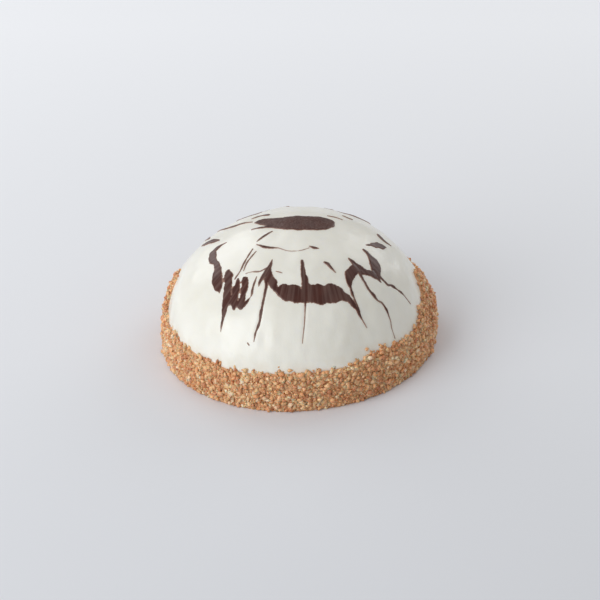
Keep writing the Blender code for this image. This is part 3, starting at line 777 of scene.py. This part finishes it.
def build_crumbs():
    """All crumbs, as one piece for each kind."""
    draw = np.random.default_rng(CRUMB_SEED)
    coarse = scatter(draw, COARSE_SPACING)
    fine = scatter(draw, FINE_SPACING)
    turn = np.concatenate([coarse[0], fine[0]])
    reach = np.concatenate([coarse[1], fine[1]])
    coarse_size = draw.uniform(*COARSE_SIZES, len(coarse[0]))
    fine_size = draw.uniform(*FINE_SIZES, len(fine[0]))
    size = np.concatenate([coarse_size, fine_size])
    lift = np.maximum(bed_lift(turn, reach), 0)
    seat = dome_points(turn, reach, lift)
    outward = dome_points(turn, reach, lift + MM) - seat
    outward /= np.linalg.norm(outward, axis=1, keepdims=True)
    centre = seat + outward * (size * draw.uniform(*CHIP_STAND, len(size)) * MM)[:, None]
    axes = chip_frames(outward, draw) * (size * MM)[:, None, None]
    shape_of = draw.integers(0, CHIP_SHAPES, len(size))
    kind_of = draw.choice(len(CRUMB_KINDS), len(size), p=list(CRUMB_KINDS.values()))
    shade = draw.uniform(size=len(size))
    shapes = chip_shapes()
    pieces = []
    for kind, name in enumerate(CRUMB_KINDS):
        points = []
        triangles = []
        shades = []
        first = 0
        for shape, (corners, sides) in enumerate(shapes):
            chosen = np.nonzero((shape_of == shape) & (kind_of == kind))[0]
            spots = centre[chosen][:, None, :] + np.einsum("cij,vj->cvi", axes[chosen], corners)
            lowest = spots[..., 2].min(1)
            spots[..., 2] += np.maximum(FLOOR_CLEARANCE * MM - lowest, 0)[:, None]
            starts = first + np.arange(len(chosen)) * len(corners)
            points.append(spots.reshape(-1, 3))
            triangles.append((sides[None] + starts[:, None, None]).reshape(-1, 3))
            shades.append(np.repeat(shade[chosen], len(corners)))
            first += len(chosen) * len(corners)
        piece = add_mesh("crumbs_" + name, np.concatenate(points), np.concatenate(triangles).tolist())
        add_values(piece, "shade", np.concatenate(shades))
        pieces.append(piece)
    return pieces


# Materials

def new_material(name, **values):
    """A material with its even values set straight on the shader; returns it with its tree and shader."""
    material = bpy.data.materials.new(name)
    material.use_nodes = True
    shader = material.node_tree.nodes["Principled BSDF"]
    for socket, value in values.items():
        shader.inputs[socket.replace("_", " ")].default_value = value
    return material, material.node_tree, shader


def noise_field(tree, size_mm, detail=3.0, roughness=0.5):
    """Noise over the piece's own space, with features of about the given size."""
    place = tree.nodes.new("ShaderNodeTexCoord")
    field = tree.nodes.new("ShaderNodeTexNoise")
    field.inputs["Scale"].default_value = 1 / (size_mm * MM)
    field.inputs["Detail"].default_value = detail
    field.inputs["Roughness"].default_value = roughness
    tree.links.new(place.outputs["Object"], field.inputs["Vector"])
    return field.outputs["Fac"]


def streak_field(tree, size_mm):
    """Noise drawn out down the dome, with streaks of about the given width."""
    stored = tree.nodes.new("ShaderNodeAttribute")
    stored.attribute_name = "streak"
    field = tree.nodes.new("ShaderNodeTexNoise")
    field.inputs["Scale"].default_value = 1 / size_mm
    field.inputs["Detail"].default_value = STREAK_DETAIL
    tree.links.new(stored.outputs["Vector"], field.inputs["Vector"])
    return field.outputs["Fac"]


def stored_field(tree, name):
    """The number that the mesh holds under this name for each vertex."""
    stored = tree.nodes.new("ShaderNodeAttribute")
    stored.attribute_name = name
    return stored.outputs["Fac"]


def ramp(tree, value, stops):
    """A colour ramp over a value, from stops of position and colour."""
    node = tree.nodes.new("ShaderNodeValToRGB")
    elements = node.color_ramp.elements
    while len(elements) < len(stops):
        elements.new(0.5)
    for element, (position, colour) in zip(elements, stops):
        element.position = position
        element.color = (*colour, 1.0)
    tree.links.new(value, node.inputs["Fac"])
    return node.outputs["Color"]


def span(tree, value, low, high, start=0.3, end=0.7):
    """Maps a value's range, from start to end, onto the range from low to high; noise mostly lies within the
    range that is taken where none is given."""
    node = tree.nodes.new("ShaderNodeMapRange")
    node.inputs["From Min"].default_value = start
    node.inputs["From Max"].default_value = end
    node.inputs["To Min"].default_value = low
    node.inputs["To Max"].default_value = high
    tree.links.new(value, node.inputs["Value"])
    return node.outputs["Result"]


# The mix node's sockets for colours
MIX_FIRST = 6
MIX_SECOND = 7
MIX_RESULT = 2


def blend(tree, kind, share, first, second):
    """Mixes two colours; the share is a number or a field."""
    node = tree.nodes.new("ShaderNodeMix")
    node.data_type = "RGBA"
    node.blend_type = kind
    if isinstance(share, float):
        node.inputs["Factor"].default_value = share
    else:
        tree.links.new(share, node.inputs["Factor"])
    for socket, colour in ((node.inputs[MIX_FIRST], first), (node.inputs[MIX_SECOND], second)):
        if isinstance(colour, tuple):
            socket.default_value = (*colour, 1.0)
        else:
            tree.links.new(colour, socket)
    return node.outputs[MIX_RESULT]


def bump(tree, shader, *layers):
    """Fine relief, one layer on the other, each from a kind of field with its size, strength and depth."""
    normal = None
    for kind_of_field, size_mm, strength, depth_mm in layers:
        node = tree.nodes.new("ShaderNodeBump")
        node.inputs["Strength"].default_value = strength
        node.inputs["Distance"].default_value = depth_mm * MM
        tree.links.new(kind_of_field(tree, size_mm), node.inputs["Height"])
        if normal is not None:
            tree.links.new(normal, node.inputs["Normal"])
        normal = node.outputs["Normal"]
    tree.links.new(normal, shader.inputs["Normal"])


def glaze_material():
    """Ivory icing: a soft gloss, faint cream clouds, and a touch of nut oil just above the crumbs."""
    material, tree, shader = new_material(
        "ivory_glaze", Coat_Weight=0.3, Coat_Roughness=0.16, Subsurface_Weight=0.12,
        Subsurface_Radius=(0.004, 0.0034, 0.0024), Subsurface_Scale=1.0, IOR=1.46)
    clouds = ramp(tree, noise_field(tree, GLAZE_CLOUD_SIZE), GLAZE_CLOUDS)
    oiled = blend(tree, "MIX", oiled_share(tree), clouds, GLAZE_OILED)
    tree.links.new(oiled, shader.inputs["Base Color"])
    roughness = span(tree, noise_field(tree, GLAZE_GLOSS_SIZE), *GLAZE_ROUGHNESS)
    tree.links.new(roughness, shader.inputs["Roughness"])
    bump(tree, shader, (noise_field, *GLAZE_DIMPLES), (streak_field, *GLAZE_STREAKS))
    return material


def oiled_share(tree):
    """How much nut oil shows: none higher up, and patches near the crumbs."""
    near = tree.nodes.new("ShaderNodeMath")
    near.operation = "MULTIPLY"
    tree.links.new(span(tree, stored_field(tree, "lip"), *OIL_SPAN), near.inputs[0])
    tree.links.new(span(tree, noise_field(tree, OIL_PATCH_SIZE), *OIL_PATCH_SPAN), near.inputs[1])
    return near.outputs["Value"]


def chocolate_material():
    """Dark chocolate with paler streaks, partly pulled chocolate and partly painted reflection streaks, and
    browner where it is dragged out thin and at its edges.
    """
    material, tree, shader = new_material(
        "dark_chocolate", Coat_Weight=0.12, Coat_Roughness=0.16, Specular_IOR_Level=0.35, IOR=1.42)
    body = ramp(tree, noise_field(tree, CHOCOLATE_TONE_SIZE), CHOCOLATE_TONES)
    # the paler streaks are partly pulled chocolate and partly painted reflection
    streaks = span(tree, streak_field(tree, PULLED_AND_SHEEN_SIZE), *PULLED_AND_SHEEN_SPAN)
    pulled = blend(tree, "MIX", streaks, body, PULLED_AND_SHEEN_COLOUR)
    thin = span(tree, stored_field(tree, "stroke"), *THIN_SPAN)
    thinned = blend(tree, "MIX", thin, pulled, THIN_COLOUR)
    edge = span(tree, stored_field(tree, "depth"), *EDGE_SPAN)
    tree.links.new(blend(tree, "MIX", edge, thinned, EDGE_COLOUR), shader.inputs["Base Color"])
    roughness = span(tree, noise_field(tree, CHOCOLATE_GLOSS_SIZE), *CHOCOLATE_ROUGHNESS)
    tree.links.new(roughness, shader.inputs["Roughness"])
    bump(tree, shader, (noise_field, *CHOCOLATE_DIMPLES), (streak_field, *CHOCOLATE_STREAKS))
    return material


def crumb_material(kind):
    """Toasted nut: each chip has its own shade, with darker skin in specks, and a slight oily shine."""
    material, tree, shader = new_material(
        "nut_" + kind, Subsurface_Weight=0.7, Subsurface_Radius=(0.0024, 0.0014, 0.0009),
        Subsurface_Scale=1.0, IOR=1.5)
    own = ramp(tree, stored_field(tree, "shade"), CRUMB_SHADES[kind])
    specks = span(tree, noise_field(tree, SPECK_SIZE), *SPECK_SPAN)
    speckled = blend(tree, "MULTIPLY", specks, own, SPECK_COLOUR)
    toasted = ramp(tree, noise_field(tree, TOAST_SIZE, TOAST_DETAIL), TOAST_TONES)
    tree.links.new(blend(tree, "MULTIPLY", 1.0, speckled, toasted), shader.inputs["Base Color"])
    roughness = span(tree, noise_field(tree, CRUMB_GLOSS_SIZE), *CRUMB_ROUGHNESS)
    tree.links.new(roughness, shader.inputs["Roughness"])
    bump(tree, shader, (noise_field, *CRUMB_DIMPLES))
    return material


def bed_material():
    """What shows between the crumbs: fine nut powder, coloured darker than the chips partly as painted shade
    in the gaps between them.
    """
    material, tree, shader = new_material("nut_bed", Roughness=0.8)
    dust_and_shade = ramp(tree, noise_field(tree, DUST_SIZE, DUST_DETAIL, DUST_GRAIN), DUST_AND_SHADE_TONES)
    tree.links.new(dust_and_shade, shader.inputs["Base Color"])
    bump(tree, shader, (noise_field, *DUST_DIMPLES))
    return material


def dress(piece, material, node):
    """Gives a piece its material, ties it to the cake, and hides the solid that it stands for."""
    piece.data.materials.append(material)
    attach(piece, "root")
    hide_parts(node)


# Floor, light and camera

def floor_material():
    """Pale grey, with painted light: a little lighter towards the back and darker towards the viewer."""
    material, tree, shader = new_material("pale_floor", Roughness=0.6)
    place = tree.nodes.new("ShaderNodeTexCoord")
    parts = tree.nodes.new("ShaderNodeSeparateXYZ")
    tree.links.new(place.outputs["Object"], parts.inputs["Vector"])
    depth = span(tree, parts.outputs["Y"], 0.0, 1.0, *FLOOR_FADE)
    tree.links.new(ramp(tree, depth, [(0.0, FLOOR_NEAR), (1.0, FLOOR_FAR)]), shader.inputs["Base Color"])
    return material


def build_floor():
    """A plain square under the cake, which is stage and no part of it."""
    corners = [(FLOOR_HALF * x, FLOOR_HALF * y, 0) for x, y in ((-1, -1), (1, -1), (1, 1), (-1, 1))]
    floor = add_mesh("floor", corners, [(0, 1, 2, 3)])
    floor.data.materials.append(floor_material())


def add_light(name, place, aim, width, watts, colour):
    """A soft round light at a place, turned towards its aim."""
    lamp = bpy.data.lights.new(name, "AREA")
    lamp.shape = "DISK"
    lamp.size = width
    lamp.energy = watts
    lamp.color = colour
    light = bpy.data.objects.new(name, lamp)
    bpy.context.scene.collection.objects.link(light)
    light.location = place
    light.rotation_euler = (Vector(aim) - Vector(place)).to_track_quat("-Z", "Y").to_euler()


def build_lights():
    """A broad soft light from the left and a little in front, weaker ones behind, and a pale room."""
    for light in LIGHTS:
        add_light(*light)
    world = bpy.data.worlds.new("room")
    world.use_nodes = True
    background = world.node_tree.nodes["Background"]
    background.inputs["Color"].default_value = (*ROOM_COLOUR, 1.0)
    background.inputs["Strength"].default_value = ROOM_STRENGTH
    bpy.context.scene.world = world


def build_camera():
    """The camera in front of the cake, looking down on it."""
    camera = bpy.data.cameras.new("camera")
    camera.sensor_width = SENSOR_MM
    camera.lens = FOCAL_PIXELS * SENSOR_MM / IMAGE_PIXELS
    holder = bpy.data.objects.new("camera", camera)
    bpy.context.scene.collection.objects.link(holder)
    elevation = math.radians(CAMERA_ELEVATION)
    holder.location = (0, -CAMERA_DISTANCE * math.cos(elevation), CAMERA_DISTANCE * math.sin(elevation))
    holder.rotation_euler = (math.radians(CAMERA_TILT), 0, 0)
    bpy.context.scene.camera = holder


build_camera()
build_lights()
build_floor()
bpy.context.scene.view_settings.view_transform = "Standard"
dress(build_bed(), bed_material(), "cake")
for crumbs, kind in zip(build_crumbs(), CRUMB_KINDS):
    dress(crumbs, crumb_material(kind), "cake")
dress(build_glaze(), glaze_material(), "glaze")
dress(build_chocolate(), chocolate_material(), "glaze")
